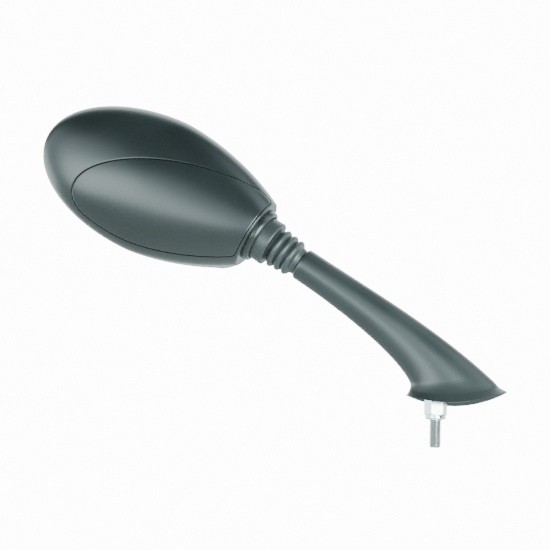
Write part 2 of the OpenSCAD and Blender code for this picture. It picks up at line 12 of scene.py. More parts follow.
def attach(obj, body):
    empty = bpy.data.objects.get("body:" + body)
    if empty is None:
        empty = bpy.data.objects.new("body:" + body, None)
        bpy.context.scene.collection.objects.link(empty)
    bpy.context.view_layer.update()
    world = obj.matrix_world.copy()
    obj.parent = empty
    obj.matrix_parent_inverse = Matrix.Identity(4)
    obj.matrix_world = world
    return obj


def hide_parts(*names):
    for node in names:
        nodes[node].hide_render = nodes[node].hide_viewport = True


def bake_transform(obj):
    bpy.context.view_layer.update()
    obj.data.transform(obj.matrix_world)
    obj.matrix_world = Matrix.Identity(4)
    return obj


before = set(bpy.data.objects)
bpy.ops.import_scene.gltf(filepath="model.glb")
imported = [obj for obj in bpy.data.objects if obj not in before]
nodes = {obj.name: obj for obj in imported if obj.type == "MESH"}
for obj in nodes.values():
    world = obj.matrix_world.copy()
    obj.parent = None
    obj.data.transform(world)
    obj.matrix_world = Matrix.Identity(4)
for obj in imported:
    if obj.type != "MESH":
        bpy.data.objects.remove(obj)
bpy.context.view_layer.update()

# Stud, with the turn of its hex in degrees, and the bush in the foot that it screws into.
THREAD_R, THREAD_DEEP, PITCH, STUD_OUT, STUD_TOP, RELIEF_R, WASHER_T = 4.0, 0.77, 1.25, 18.5, 31.1, 3.3, 2.6
HEX_AF, HEX_TOP, HEX_TURN = 13.0, 17.6, 12
INSERT_R, INSERT_TOP = 6.6, 33.6
# Arm. The pulls place the middle control points of the curves between its neck and its waist.
ARM_R, ARM_SKIP, TOP_PULL, LOW_PULL, HALF_PULLS = 11.0, 2.8, 46, 31, (10.4, 11.0)
WAIST_L, WAIST_R, WAIST_Z, WAIST_RISE, WAIST_HALF = 16.3, 38.0, 22.0, 2.8, 15.0
WAIST_TOP_PULL, WAIST_LOW_PULL, WAIST_SAG, SAG_FROM, SAG_RUN = (-38, 37.8), (-9, 20), 1.6, 0.55, 0.45
FLARE_L, FLARE_R, FLARE_SIDE, FLARE_SAG, FLARE_POWER = 3.1, 8.6, 6.0, 5.3, 1.7
FOOT_RIM_Z, FOOT_RIM_RISE, FOOT_RIM_TILT, SKIRT_WALL, HOLLOW_Z = 9.9, 6.9, 1.8, 2.4, 20.0
BOSS_WALL, BOSS_TOP, SPIGOT_WALL, SPIGOT_OUT, SPIGOT_IN = 1.6, 23.0, 2.2, 5, 3
# Neck and ball.
BALL, NECK_SLOPE, NECK_LEN, ROD_R, ROD_IN = np.array([-129.0, 0.0, 126.0]), 32.8, 45.2, 5.0, 34.0
# Head. Its oval has the half axes HEAD_A and HEAD_B, and the curve of its neck would end at HEAD_N.
HEAD_SLOPE, BALL_OUT, FACE_S, HEAD_A, HEAD_B, HEAD_N = 23.65, 68.0, 9.8, 83.5, 47.4, 102.5
DOME, DOME_NECK, NECK_FILLET, FRONT_FILLET, WALL = 26.0, 23.0, 1.2, 15.0, 2.6
# Openings of the housing along the neck, each as its radius, start and end from the ball.
MOUTH, SOCKET_ROOM = (12, 0, 12), (16.2, -4, 7)
# Panel in the back. Over the last NARROW_TOP before the neck's end, the strip above its seam narrows.
SEAM_MID, SEAM_A, SEAM_B = np.array([27.0, -9.5]), 76.2, 30.9
SEAM_TURN, SEAM_EDGE, SEAM_END, NARROW_TOP = 13.1, 4.4, 1.6, 34.0
COVER_T, SEAM_GAP, BULGE, LEDGE_W, LEDGE_T, LEDGE_DEEP = 2.2, 0.35, 0.8, 3.0, 2.45, 1.9
POSTS = ((-24.0, -26.0), (50.0, 9.0))
POST_R, SCREW_R, SCREW_PLAY, SCREW_IN, TAB_Y, TAB_T, TAB_HALF = 3.2, 1.25, 0.15, 7.0, 3.2, 2.4, 4.6
# Glass and the rim that holds it.
GLASS_Y, GLASS_BACK, GLASS_T, RIM_Y, LIP_W, LEDGE_IN, CURVE = 16.7, 19.2, 2.2, 24.6, 4.6, 2.0, 1200.0
# Boot, from the ball: where its bending would start, where its two pieces meet and where its bending would
# end. Only the meeting is used; the boot is not bent.
BOOT_HELD, BOOT_MEET, BOOT_FREE = 14.2, 20.0, 37.0
# Each rib is smaller by RIB_STEP_IN than the one before it.
CUFF_R, RIB_R, RIB_STEP_IN, GROOVE, BOOT_WALL, RIBS = 15.6, 13.7, 0.5, 2.6, 1.5, 3
# The head's flat end leans by the angle between the neck and the head.
LEAN = NECK_SLOPE - HEAD_SLOPE
LEAN_COS, LEAN_SIN = np.cos(np.radians(LEAN)), np.sin(np.radians(LEAN))


def turned(p, degrees):
    """Points turned about Y: x and z go round by the angle, y stays."""
    c, s = np.cos(np.radians(degrees)), np.sin(np.radians(degrees))
    return np.stack([p[..., 0] * c + p[..., 2] * s, p[..., 1], p[..., 2] * c - p[..., 0] * s], -1)


def from_neck(p):
    """Neck frame to the part's frame: z runs from the ball down the neck."""
    return turned(p, 90 + NECK_SLOPE) + BALL


def from_head(p):
    """Head frame to the part's frame: x runs along the head towards the neck, y towards the rider."""
    return turned(p - np.array([BALL_OUT, 0, 0]), HEAD_SLOPE) + BALL


# Meshes from rings.
def shell(name, rings, closed=False, crease=32):
    """Quads between neighbouring rings of an array (m, n, 3); the ends get a fan round their mean point,
    or the last ring joins the first where closed. The sign of the volume turns the faces outwards."""
    m, n = rings.shape[:2]
    points = rings.reshape(-1, 3)
    k, i = np.meshgrid(np.arange(m if closed else m - 1), np.arange(n), indexing="ij")
    a, b, j = k * n, (k + 1) % m * n, (i + 1) % n
    quads = np.stack([a + i, b + i, b + j, a + j], -1).reshape(-1, 4)
    fans = np.zeros((0, 3), int)
    if not closed:
        i, j = np.arange(n), (np.arange(n) + 1) % n
        points = np.vstack([points, rings[0].mean(0), rings[-1].mean(0)])
        fans = np.vstack([np.stack([np.full(n, m * n), i, j], 1),
                          np.stack([np.full(n, m * n + 1), (m - 1) * n + j, (m - 1) * n + i], 1)])
    p = points[np.vstack([quads[:, :3], quads[:, [0, 2, 3]], fans])] - points.mean(0)
    if np.einsum("ij,ij->", p[:, 0], np.cross(p[:, 1], p[:, 2])) < 0:
        quads, fans = quads[:, ::-1], fans[:, ::-1]
    mesh = bpy.data.meshes.new(name)
    mesh.from_pydata((points * 0.001).tolist(), [], quads.tolist() + fans.tolist())
    return placed(name, mesh, crease)


def placed(name, mesh, crease):
    """An object at the origin for a mesh, smooth but for its sharp edges."""
    mesh.polygons.foreach_set("use_smooth", np.ones(len(mesh.polygons), bool))
    mesh.set_sharp_from_angle(angle=np.radians(crease))
    piece = bpy.data.objects.new(name, mesh)
    bpy.context.scene.collection.objects.link(piece)
    return piece


def cut(piece, tools, how="DIFFERENCE", crease=32):
    """The piece less the tools, or joined with them. The tools go afterwards."""
    for tool in tools:
        step = piece.modifiers.new("cut", "BOOLEAN")
        step.object, step.operation, step.solver = tool, how, "MANIFOLD"
    bpy.context.view_layer.update()
    made = bpy.data.meshes.new_from_object(piece.evaluated_get(bpy.context.evaluated_depsgraph_get()))
    piece.modifiers.clear()
    old, piece.data = piece.data, made
    made.set_sharp_from_angle(angle=np.radians(crease))
    bpy.data.meshes.remove(old)
    for tool in tools:
        bpy.data.meshes.remove(tool.data)


def softened(rings, cuts, steps=4, most=0.48):
    """Each ring with a cut length becomes a few on a quadratic curve, which leaves the straight lines
    to its two neighbours that far from the corner, but at most a share of the line away. The first and
    last ring stay."""
    out = [rings[0]]
    for k in range(1, len(rings) - 1):
        here, to_prev, to_next = rings[k], rings[k - 1] - rings[k], rings[k + 1] - rings[k]
        if not cuts[k]:
            out.append(here)
            continue
        before = np.linalg.norm(to_prev, axis=-1, keepdims=True) + 1e-9
        after = np.linalg.norm(to_next, axis=-1, keepdims=True) + 1e-9
        a = here + to_prev / before * np.minimum(cuts[k], most * before)
        b = here + to_next / after * np.minimum(cuts[k], most * after)
        for f in np.linspace(0, 1, steps + 1):
            out.append(a * (1 - f) ** 2 + here * 2 * f * (1 - f) + b * f ** 2)
    return np.array(out + [rings[-1]])


def eased(rings, steps):
    """Catmull-Rom curve through each point's run of rings, with steps spans between two of them."""
    p = np.concatenate([2 * rings[:1] - rings[1:2], rings, 2 * rings[-1:] - rings[-2:-1]])
    f = (np.arange(steps) / steps)[None, :, None, None]
    a, b, c, d = (p[k:len(p) - 3 + k, None] for k in range(4))
    run = b + 0.5 * f * (c - a + f * (2 * a - 5 * b + 4 * c - d + f * (3 * (b - c) + d - a)))
    return np.concatenate([run.reshape(-1, *rings.shape[1:]), rings[-1:]])


def lathe(profile, count=120, cuts=None, steps=4):
    """A profile of (radius, height) pairs carried round the Z axis, from above anticlockwise, with its
    corners softened where cuts are given."""
    profile = np.array(profile, float)
    turn = np.linspace(0, 2 * np.pi, count, endpoint=False)
    rings = np.stack([profile[:, :1] * np.cos(turn), profile[:, :1] * np.sin(turn),
                      np.repeat(profile[:, 1:], count, 1)], -1)
    return rings if cuts is None else softened(rings, cuts, steps)


def rod(name, radius, low, high, place=lambda p: p):
    """A cylinder along Z, for cutting and joining, moved by the function place."""
    return shell(name, place(lathe([[radius, low], [radius, high]], 96)))


# Head outline and dome, by the CAD source's formulas on finer points, but for the strip at the seam.
def end_u(x, z):
    """Distance behind the flat end that the collar ring sits on."""
    return FACE_S - (x - BALL_OUT) * LEAN_COS + z * LEAN_SIN


def end_x(z):
    """Place of that flat end along the head, at a height z."""
    return BALL_OUT + (FACE_S + z * LEAN_SIN) / LEAN_COS


def half_width(x):
    """Half height of the head: an ellipse to the tip, a power curve to the neck."""
    far = HEAD_B * np.sqrt(np.clip(1 - (x / HEAD_A) ** 2, 0, None))
    return np.where(x < 0, far, HEAD_B * np.clip(1 - (np.abs(x) / HEAD_N) ** 1.6, 0, None) ** (2 / 3))


def fall(u, r):
    """How far a quarter circle of radius r lies under its tangent, at a distance u from its start."""
    return np.where(u >= r, 0, r * (1 - np.sqrt(np.clip(1 - ((r - np.clip(u, 0, r)) / r) ** 2, 0, None))))


# The outline has this many points for each one of the CAD source's.
FINE = 5


def outline_with(r):
    """The outline as (x, z) points: the flat end, a side with its corner rounded by r, the tip, a side.
    The heights where the flat end meets the corners come from a few rounds of trial."""
    top, low = 20.0, -20.0
    for _ in range(6):
        top, low = half_width(end_x(top)) - r, -(half_width(end_x(low)) - r)
    face, side, tip = 14 * FINE, 16 * FINE, 30 * FINE
    z = (top + low) / 2 + (top - low) / 2 * np.sin(np.radians(-90 + 180 * np.arange(face) / face))
    parts = [np.stack([end_x(z), z], -1)]
    for edge, sign in ((top, 1), (low, -1)):
        j = np.arange(side)
        x = end_x(edge) * (1 - (j / side) ** 1.8)
        w = half_width(x)
        parts.append(np.stack([x, sign * (w - fall((end_x(edge) - x) * LEAN_COS, r))], -1))
    f = np.radians(90 + 180 * np.arange(tip) / tip)
    back = parts.pop()
    parts.append(np.stack([HEAD_A * np.cos(f), HEAD_B * np.sin(f)], -1))
    low_mid = np.array([[0.0, -HEAD_B]])
    parts.append(np.vstack([low_mid, back[:0:-1]]))
    return np.vstack(parts)


outline, front = outline_with(NECK_FILLET), outline_with(FRONT_FILLET)


def inset(q, e, least=0.55):
    """The outline drawn in by e along rays to the middle, e measured square to the outline. The sine of
    the angle between a ray and the outline is taken as no smaller than least."""
    r = np.linalg.norm(q, axis=1)
    d = np.roll(q, -1, 0) - np.roll(q, 1, 0)
    sine = np.abs(q[:, 0] * d[:, 1] - q[:, 1] * d[:, 0]) / np.linalg.norm(d, axis=1) / r
    return q * (1 - e / np.maximum(sine, least) / r)[:, None]


def span(x, t):
    """Half height and depth of the skin that lies t inside the outer one: half an ellipsoid to the tip,
    flatter to the neck, where t counts a little more in height."""
    far = np.sqrt(np.clip(1 - (x / (HEAD_A - t)) ** 2, 0.0001, None))
    wide = np.where(x < 0, (HEAD_B - t) * far, half_width(x) - t * (1 + 0.15 * np.clip(x / 60, None, 1)))
    deep = np.where(x < 0, (DOME - t) * far, DOME - t - (DOME - DOME_NECK) * (x / (BALL_OUT + FACE_S)) ** 2)
    return wide, deep


def depth(x, z, t=0.0):
    """Depth of the dome behind the widest line, with its end rounded at the neck."""
    wide, deep = span(x, t)
    k = fall(end_u(x, z), NECK_FILLET)
    return (deep - k) * np.sqrt(np.clip(1 - (z / (wide - k)) ** 2, 0, None))


def inside_strip(p):
    """How far (x, z) points lie inside the line along the head's sides that the seam keeps to. The
    strip outside it narrows to the neck's end on the upper side."""
    f = np.clip(end_u(p[:, 0], p[:, 1]) / NARROW_TOP, 0, 1)
    strip = np.where(p[:, 1] > 0, SEAM_END + (SEAM_EDGE - SEAM_END) * f * f * (3 - 2 * f), SEAM_EDGE)
    return half_width(p[:, 0]) - strip - np.abs(p[:, 1])


def seam_line(halvings=40, power=60):
    """The cover's seam on rays from its middle: an oval, the strip behind the neck's end and the strip
    along the sides, whichever is nearest. The last one is found by halving the ray's span again and
    again. A sum of high powers leaves the change between them slightly rounded."""
    away = outline - SEAM_MID
    d = away / np.linalg.norm(away, axis=1)[:, None]
    f = np.arctan2(d[:, 1], d[:, 0]) - np.radians(SEAM_TURN)
    oval = 1 / np.sqrt((np.cos(f) / SEAM_A) ** 2 + (np.sin(f) / SEAM_B) ** 2)
    ahead = np.maximum(d[:, 0] * LEAN_COS - d[:, 1] * LEAN_SIN, 0.01)
    end = (end_u(*SEAM_MID) - SEAM_END) / ahead
    low, high = np.zeros(len(d)), np.full(len(d), 2 * HEAD_A)
    for _ in range(halvings):
        side = (low + high) / 2
        inside = inside_strip(SEAM_MID + d * side[:, None]) > 0
        low, high = np.where(inside, side, low), np.where(inside, high, side)
    near = np.minimum(np.minimum(oval, end), side)
    soft = ((near / oval) ** power + (near / end) ** power + (near / side) ** power) ** (-1 / power)
    return SEAM_MID + d * (near * soft)[:, None]


seam = seam_line()
# The inner skin is drawn in by no more than this share of the strip between the seam and the outline.
STRIP_SHARE = 0.59
strip = np.linalg.norm(outline - seam, axis=1)


def on_dome(p, t=0.0, out=0.0):
    """(x, z) points laid on the dome's skin t inside the outer one, raised by out."""
    return np.stack([p[:, 0], -depth(p[:, 0], p[:, 1], t) - out, p[:, 1]], -1)


def seam_ring(e, t=0.0, out=0.0):
    """The seam drawn in by e towards its middle, on a skin of the dome."""
    d = seam - SEAM_MID
    return on_dome(SEAM_MID + d * (1 - e / np.linalg.norm(d, axis=1))[:, None], t, out)


def skin_ring(q, t=0.0):
    """A share q of the way from the seam to the outline, on the dome's skin t inside the outer one."""
    return on_dome(seam + (inset(outline, np.minimum(t, STRIP_SHARE * strip)) - seam) * q, t)


def side_ring(e, y, flat=False):
    """The outline drawn in by e at a depth y in front of the widest line, where it turns into the rounder
    one of the rim. A flat one is drawn in less and less over the last stretch before the flat end."""
    front_y, stretch = RIM_Y - 4, 14
    q = outline + (front - outline) * min(1, y / front_y) ** 2.2
    p = inset(q, e * np.clip(end_u(q[:, 0], q[:, 1]) / stretch, 0, 1) if flat else np.full(len(q), e))
    return np.stack([p[:, 0], np.full(len(p), float(y)), p[:, 1]], -1)


def pocket_ring(e, y):
    """The rim's own outline drawn in by e; y is a depth or a function of the distance from the middle."""
    p = inset(front, np.full(len(front), e))
    y = y(np.linalg.norm(p, axis=1)) if callable(y) else np.full(len(p), y)
    return np.stack([p[:, 0], y, p[:, 1]], -1)


def bowl(y):
    """Depth of a sphere of the glass's curve that passes y at the glass's far edge."""
    return lambda r: y - np.sqrt(CURVE ** 2 - (HEAD_A - LIP_W) ** 2) + np.sqrt(CURVE ** 2 - r ** 2)


def face_rod(name, radius, low, high):
    """A cylinder along the neck, in the head frame."""
    return rod(name, radius, low, high,
               lambda p: from_head(turned(p, 90 + LEAN) + np.array([BALL_OUT, 0, 0])))


def post_rod(name, radius, low, high, place):
    """A cylinder along the head's y axis, at a screw's place."""
    return rod(name, radius, low, high, lambda p: from_head(
        np.stack([place[0] + p[..., 0], p[..., 2], place[1] - p[..., 1]], -1)))


def screw_tab(place):
    """Flat tab under a post of the cover: a half circle round the screw, carried out to the wall."""
    side = np.sign(place[1])
    x = place[0] + TAB_HALF * np.linspace(1, -1, 9)
    wide, deep = span(x, WALL / 2)
    at_wall = np.stack([x, side * wide * np.sqrt(1 - (TAB_Y / deep) ** 2)], -1)
    f = np.linspace(np.pi, 2 * np.pi, 24)
    nose = np.stack([place[0] + TAB_HALF * np.cos(f), place[1] + side * TAB_HALF * np.sin(f)], -1)
    loop = np.concatenate([at_wall, nose])
    rings = [np.stack([loop[:, 0], np.full(len(loop), y), loop[:, 1]], -1)
             for y in (-TAB_Y - TAB_T / 2, -TAB_Y + TAB_T / 2)]
    return shell("screw_tab", from_head(np.array(rings)))


def make_housing():
    """Shell of the head: the dome outside the seam, the sides, the rim with its pocket for the glass,
    the inner wall, and the ledge under the cover."""
    dome = np.array([skin_ring(1 - v ** 2) for v in np.linspace(1, 0, 34)])
    # How far each ring of the sides is drawn in, its depth, and whether it is flat at the neck's end.
    rows = [(0, 0, False), (0.05, 5, True), (0.5, 12, True), (1.2, RIM_Y - 4.5, True),
            (1.9, RIM_Y - 1.8, False), (2.7, RIM_Y - 0.5, False), (3.5, RIM_Y, False)]
    sides = eased(np.array([side_ring(*row) for row in rows]), 5)
    # The glass's seat: the depth of its front and of its back, and how far it reaches in.
    seat, seat_back, seat_in = bowl(GLASS_Y - 0.25), bowl(GLASS_Y - 1.85), LIP_W + LEDGE_IN
    pocket = [pocket_ring(LIP_W - 0.3, RIM_Y), pocket_ring(LIP_W, RIM_Y - 0.4), pocket_ring(LIP_W, seat),
              pocket_ring(seat_in, seat), pocket_ring(seat_in, seat_back),
              side_ring(WALL + 1.2, GLASS_Y - 4), side_ring(WALL + 0.3, 4)]
    inner = [skin_ring(q, WALL) for q in (0.995, 0.95, 0.85, 0.6, 0.3)]
    ledge_low = LEDGE_T + LEDGE_DEEP
    ledge = [seam_ring(0.4, ledge_low), seam_ring(LEDGE_W, ledge_low), seam_ring(LEDGE_W, LEDGE_T),
             seam_ring(0, LEDGE_T)]
    rings = np.concatenate([dome, sides[1:], pocket, inner, ledge, dome[:1]])
    # The two corners of the lip's chamfer and the ledge's corner under the seam are rounded.
    lip = len(dome) + len(sides) - 1
    cuts = [0.0] * len(rings)
    cuts[lip], cuts[lip + 1], cuts[-2] = 0.25, 0.25, 0.3
    rings = softened(rings, cuts, 3)[:-1]
    # The edge along the seam is broken by a small bevel: how far outside the seam, and how deep.
    bevel = [seam_ring(-out, deep) for out, deep in ((0, 0.5), (0.04, 0.28), (0.14, 0.1), (0.3, 0.02))]
    rings = np.concatenate([np.array(bevel + [skin_ring(0.03)]), rings[2:]])
    piece = shell("head_shell", from_head(rings), closed=True)
    cut(piece, [screw_tab(p) for p in POSTS], "UNION")
    bores = [post_rod("tab_bore", SCREW_R + SCREW_PLAY, -TAB_Y - TAB_T, -TAB_Y + TAB_T, p) for p in POSTS]
    cut(piece, bores + [face_rod("mouth", *MOUTH), face_rod("seat", *SOCKET_ROOM)], crease=58)
    return piece


def make_cover():
    """Domed panel in the back: its edge dips by a bevel, and its middle bulges a little past the dome."""
    d = seam - SEAM_MID
    reach = np.linalg.norm(d, axis=1)

    def top(e, g, dip=0.0):
        """A ring e inside the seam and then a share g of the way to the middle."""
        lift = BULGE * (1 - (1 - g) ** 6) - dip
        return on_dome(SEAM_MID + d * ((1 - e / reach) * (1 - g))[:, None], 0.0, lift)

    # The bevel's rings: how far in, what share of the way to the middle, and how far down.
    bevel_in = 0.42
    bevel = ((0, 0, 0.75), (0.03, 0, 0.45), (0.16, 0.001, 0.2), (bevel_in, 0.003, 0.04))
    rim = [top(SEAM_GAP + e, g, dip) for e, g, dip in bevel]
    field = [top(SEAM_GAP + bevel_in, g) for g in 0.006 + 0.985 * np.linspace(0, 1, 46) ** 1.45]
    under = [on_dome(SEAM_MID + d * (1 - g), COVER_T) for g in (0.93, 0.6, 0.32, 0.16)]
    under += [seam_ring(LEDGE_W + 0.5, COVER_T), seam_ring(SEAM_GAP + 0.3, COVER_T),
              seam_ring(SEAM_GAP, COVER_T - 0.2)]
    piece = shell("back_panel", from_head(np.array(under + rim + field)))
    # Each post starts a little inside the panel and ends just short of its tab.
    roots = [-depth(*np.array(p), COVER_T) - 0.8 for p in POSTS]
    end = -TAB_Y - TAB_T / 2 - 0.05
    cut(piece, [post_rod("post", POST_R, y, end, p) for y, p in zip(roots, POSTS)], "UNION")
    cut(piece, [post_rod("post_bore", SCREW_R, end - SCREW_IN, end + 1, p) for p in POSTS], crease=50)
    return piece


def make_glass():
    """Convex mirror: two spheres of one curve inside the pocket's outline, with ground edges."""
    gap = LIP_W + 0.3
    share = np.linspace(0, 1, 14) ** 0.7

    def ring(e, y, f=1.0):
        """The rim's outline drawn in by e and shrunk by the factor f, on the sphere through y."""
        p = inset(front, np.full(len(front), e)) * f
        return np.stack([p[:, 0], bowl(y)(np.linalg.norm(p, axis=1)), p[:, 1]], -1)

    face, back = GLASS_BACK + GLASS_T, GLASS_BACK
    # The edge's rings: how far in past the gap, and on which sphere.
    edge = ((0.1, back + 0.1), (0, back + 0.4), (0, face - 0.9), (0.25, face - 0.35), (0.7, face - 0.05))
    rings = [ring(gap + 0.6, back, f) for f in share[1:]]
    rings += [ring(gap + e, y) for e, y in edge]
    rings += [ring(gap + 1.0, face, f) for f in share[:0:-1]]
    return shell("mirror_plate", from_head(np.array(rings)), crease=60)


# Arm.
def cubic(p, t):
    """Cubic curve through the first and last of four control points, at every t."""
    t = t[:, None]
    return p[0] * (1 - t) ** 3 + 3 * p[1] * t * (1 - t) ** 2 + 3 * p[2] * t ** 2 * (1 - t) + p[3] * t ** 3


def make_arm():
    """Oval sections between a top line and a bottom line, then the flare of the foot, its lower edge
    and the hollow under it. A section turns about the mean of its two ends; its half width goes across."""
    slope = np.radians(NECK_SLOPE)
    along, up = np.array([np.cos(slope), -np.sin(slope)]), np.array([np.sin(slope), np.cos(slope)])
    ball = BALL[[0, 2]]
    turn = np.linspace(0, 2 * np.pi, 128, endpoint=False)
    c, s = np.cos(turn), np.sin(turn)

    def section(a, b, half, sag):
        """Ovals from each point a to its point b, of that half width, with the sides lower by the sag."""
        a, b = np.atleast_2d(a), np.atleast_2d(b)
        half, sag = np.atleast_1d(half)[:, None], np.atleast_1d(sag)[:, None]
        flat = (a + b)[:, None] / 2 + (a - b)[:, None] / 2 * c[None, :, None]
        return np.stack([flat[..., 0], -half * s, flat[..., 1] - sag * (1 - c * c)], -1)

    def neck_section(skip, grow):
        """A round section at a distance skip past the neck's end, with the arm's radius changed by grow."""
        mid, radius = ball + (NECK_LEN + skip) * along, ARM_R + grow
        return section(mid + radius * up, mid - radius * up, radius, 0)

    start = ball + (NECK_LEN + ARM_SKIP) * along
    top = np.array([start + ARM_R * up, start + ARM_R * up + TOP_PULL * along,
                    [WAIST_R + WAIST_TOP_PULL[0], WAIST_Z + WAIST_TOP_PULL[1]],
                    [WAIST_R, WAIST_Z + WAIST_RISE]])
    low = np.array([start - ARM_R * up, start - ARM_R * up + LOW_PULL * along,
                    [-WAIST_L + WAIST_LOW_PULL[0], WAIST_Z + WAIST_LOW_PULL[1]],
                    [-WAIST_L, WAIST_Z]])
    t = np.linspace(0, 1, 90)
    half = cubic(np.array([[h] for h in (ARM_R, *HALF_PULLS, WAIST_HALF)]), t)[:, 0]
    sag = WAIST_SAG * (np.clip(t - SAG_FROM, 0, 1) / SAG_RUN) ** 2
    body = section(cubic(top, t), cubic(low, t), half, sag)
    end = np.concatenate([neck_section(skip, grow) for skip, grow in ((0, -1.6), (0.35, -0.7), (1.3, -0.15))])
    end = eased(np.concatenate([end, body[:1]]), 3)[:-1]
    rim_z = FOOT_RIM_Z + FOOT_RIM_RISE
    rim_top = np.array([WAIST_R + FLARE_R, rim_z + FOOT_RIM_TILT])
    rim_low = np.array([-WAIST_L - FLARE_L, rim_z - FOOT_RIM_TILT])

    def skirt(f, inner=0.0):
        """Sections of the flare at shares f of the way down to the foot's rim, drawn in by inner."""
        f = np.atleast_1d(f)
        g = f ** FLARE_POWER
        out_and_down = np.stack([g, f], -1)
        a = top[3] + (rim_top - top[3]) * out_and_down - [inner, 0]
        b = low[3] + (rim_low - low[3]) * out_and_down + [inner, 0]
        return section(a, b, WAIST_HALF + FLARE_SIDE * g - inner, WAIST_SAG + FLARE_SAG * f)

    # A few sections are left out on both sides of the waist, which leaves room to soften it.
    body = np.concatenate([body[:-5], body[-1:]])
    flare = skirt(np.linspace(0, 1, 30)[15:])
    wall = skirt(1, SKIRT_WALL)
    # The hollow closes in towards its roof, more across than along.
    x, y, z = wall[0].T
    hollow = [np.stack([x * (1 - 0.12 * k) + k, y * (1 - 0.36 * k ** 0.8), z + (HOLLOW_Z - z) * k], -1)
              for k in (0.12, 0.35, 0.7, 1.0)]
    rings = np.concatenate([end, body, flare, wall, np.array(hollow)])
    waist = len(end) + len(body) - 1
    edge = waist + len(flare)
    cuts = [0.0] * len(rings)
    cuts[waist], cuts[edge], cuts[edge + 1] = 4.0, 1.0, 0.6
    piece = shell("arm_body", softened(rings, cuts, 7))
    boss = rod("boss", INSERT_R + BOSS_WALL, HEX_TOP + 0.6, BOSS_TOP)
    spigot = rod("spigot", ROD_R + SPIGOT_WALL, NECK_LEN - SPIGOT_OUT, NECK_LEN + SPIGOT_IN, from_neck)
    cut(piece, [boss, spigot], "UNION")
    # Both bores start a little before the solid that they cut.
    cut(piece, [rod("bush_bore", INSERT_R, HEX_TOP - 3, INSERT_TOP),
                rod("rod_bore", ROD_R, NECK_LEN - 6, NECK_LEN + ROD_IN - 6, from_neck)])
    return piece


def make_stud():
    """Stud from one bar: a grid over height and turn whose radius is the smaller of the thread, the hex
    and the turned outline. The thread's groove follows height over pitch less the turn."""
    count = 72
    turn = np.radians(HEX_TURN + 360 / count * np.arange(count))
    # Below the hex: the pointed tip, the thread, whose groove runs out at the top, and a relief.
    thread_end, relief, seat = -0.1, 0.6, WASHER_T + 0.01
    z = np.concatenate([np.arange(-STUD_OUT, -0.15, PITCH / 10), [thread_end, relief, seat]])
    tip = -STUD_OUT + np.array([0, 0.35, 1.0, 1.9])
    bar = np.interp(z, [*tip, thread_end, relief], [2.5, 3.1, 3.6, THREAD_R, THREAD_R, RELIEF_R])
    # The groove is a V that is cut off flat at the crest and at the root.
    groove = (z[:, None] / PITCH - turn / (2 * np.pi)) % 1
    groove = np.clip(1.25 * (1 - np.abs(2 * groove - 1)) - 0.12, 0, 1) * THREAD_DEEP
    groove = groove * np.interp(z, [-1.2, thread_end], [1, 0])[:, None]
    low = np.minimum(bar[:, None], THREAD_R - groove)
    low[-2:] = RELIEF_R
    # The hex: six flats, whose corners a cone turns off at both ends.
    flat = HEX_AF / 2 / np.cos(np.radians((np.degrees(turn) - HEX_TURN) % 60 - 30))
    steps = np.array([0.2, 0.45, 0.7, 0.9])
    hex_z = np.concatenate([[seat], WASHER_T + steps, [10], HEX_TOP - steps[::-1], [HEX_TOP]])
    cone_z = [WASHER_T, WASHER_T + 0.45, WASHER_T + 0.9, HEX_TOP - 0.9, HEX_TOP - 0.45, HEX_TOP]
    cone = np.interp(hex_z, cone_z, [HEX_AF / 2 + 0.35, 7.6, 8.7, 8.7, 7.6, HEX_AF / 2 - 0.1])
    radius = np.vstack([low, np.minimum(cone[:, None], flat), np.full((2, count), THREAD_R)])
    height = np.concatenate([z, hex_z, [HEX_TOP, STUD_TOP]])
    rings = np.stack([radius * np.cos(turn), radius * np.sin(turn), np.repeat(height[:, None], count, 1)], -1)
    return shell("threaded_stud", rings, crease=24)


# Boot and collar.
def boot_rings():
    """Profile of the boot as (radius, distance from the ball), outside then inside: a bead in the collar,
    a smooth cuff, ribs whose crests are powers of a sine, and the small end over the arm's spigot."""
    back, hold, end, bore = FACE_S + 0.1, FACE_S + 2.4, NECK_LEN - 0.2, ROD_R + 2.45
    first, cuff = 24.9, CUFF_R
    step = (end - 3.6 - first) / RIBS

    def rib(k):
        """Rib k, without its first point where the one before ends in it."""
        f = np.linspace(0, 1, 25)[bool(k):]
        radius = RIB_R - RIB_STEP_IN * k - GROOVE * (1 - np.abs(np.sin(np.pi * f)) ** 0.8)
        return np.stack([radius, first + step * (k + f)], -1)

    wave = np.concatenate([rib(k) for k in range(RIBS)])
    outer = [[15.75, back], [16.45, back], [16.45, hold], [cuff - 0.25, hold], [cuff - 0.1, 18.0],
             [cuff, 21.4], [cuff - 0.12, 22.3], [cuff - 0.6, 22.85], [cuff - 1.4, 23.0],
             [11.6, 23.4], [10.8, 24.0]]
    small_end = [[bore + 2.0, end - 2.6], [bore + 1.5, end], [bore, end], [bore, end - 4]]
    inner = (wave[::-6][1:-1] - [BOOT_WALL, 0]).tolist()
    rest = small_end + inner + [[9.6, first], [13.1, 21.5], [13.9, 19.9], [13.7, back]]
    return np.array(outer), wave, np.array(rest)


def dense(profile, step=0.8):
    """The profile with long spans divided, so that it bends smoothly."""
    out = []
    for a, b in zip(profile, np.roll(profile, -1, 0)):
        count = max(1, int(np.ceil(np.linalg.norm(b - a) / step)))
        out += [a + (b - a) * k / count for k in range(count)]
    return np.array(out)


